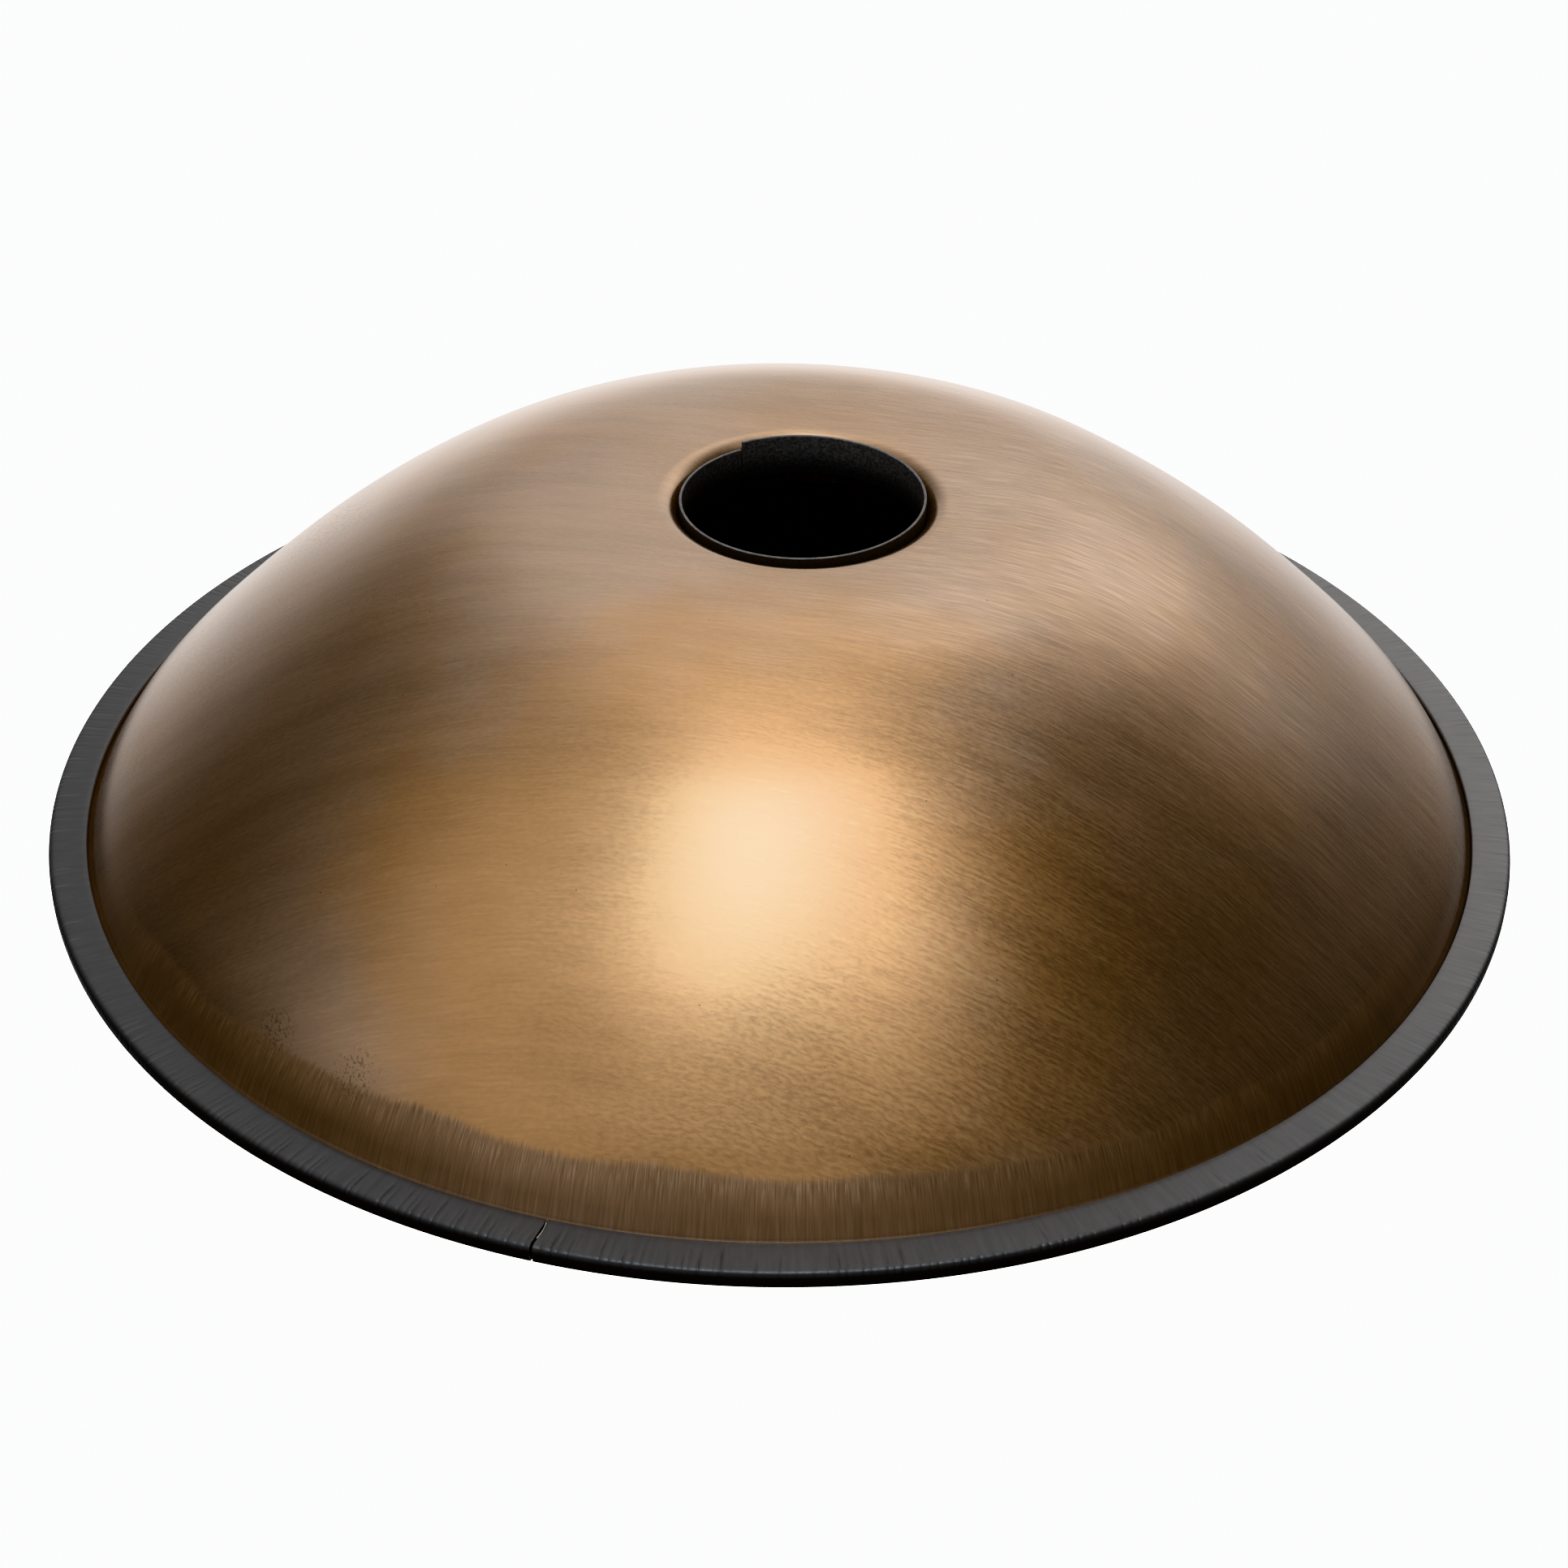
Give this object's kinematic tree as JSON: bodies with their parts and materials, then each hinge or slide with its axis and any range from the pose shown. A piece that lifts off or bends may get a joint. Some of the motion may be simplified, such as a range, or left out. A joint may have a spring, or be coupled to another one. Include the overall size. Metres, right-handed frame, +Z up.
{
  "type": "handpan",
  "caption": "Handpan of dished steel shells glued flange to flange at a trimmed rim, port side up, with a lined port above and a dished ding and tone fields below",
  "frame": {"origin": "centre of the rim, level with the flat ring round the ding that the instrument stands on", "axes": "+Z up through the port side, +X towards the side that the port's centre is set off to, +Y away from the front of the rim, where the edge trim's joint lies left of centre"},
  "size_m": [0.5296, 0.5296, 0.2384],
  "materials": {
    "gu_steel": "satin",
    "ding_steel": "satin",
    "adhesive": "satin",
    "edge_trim": "satin",
    "carrier_steel": "satin",
    "port_lining": "matte"
  },
  "bodies": {
    "root": {"gu_shell": "gu_steel", "ding_shell": "ding_steel", "rim_adhesive": "adhesive", "rim_trim": "edge_trim", "rim_trim_carrier": "carrier_steel", "port_trim": "port_lining"}
  },
  "joints": []
}
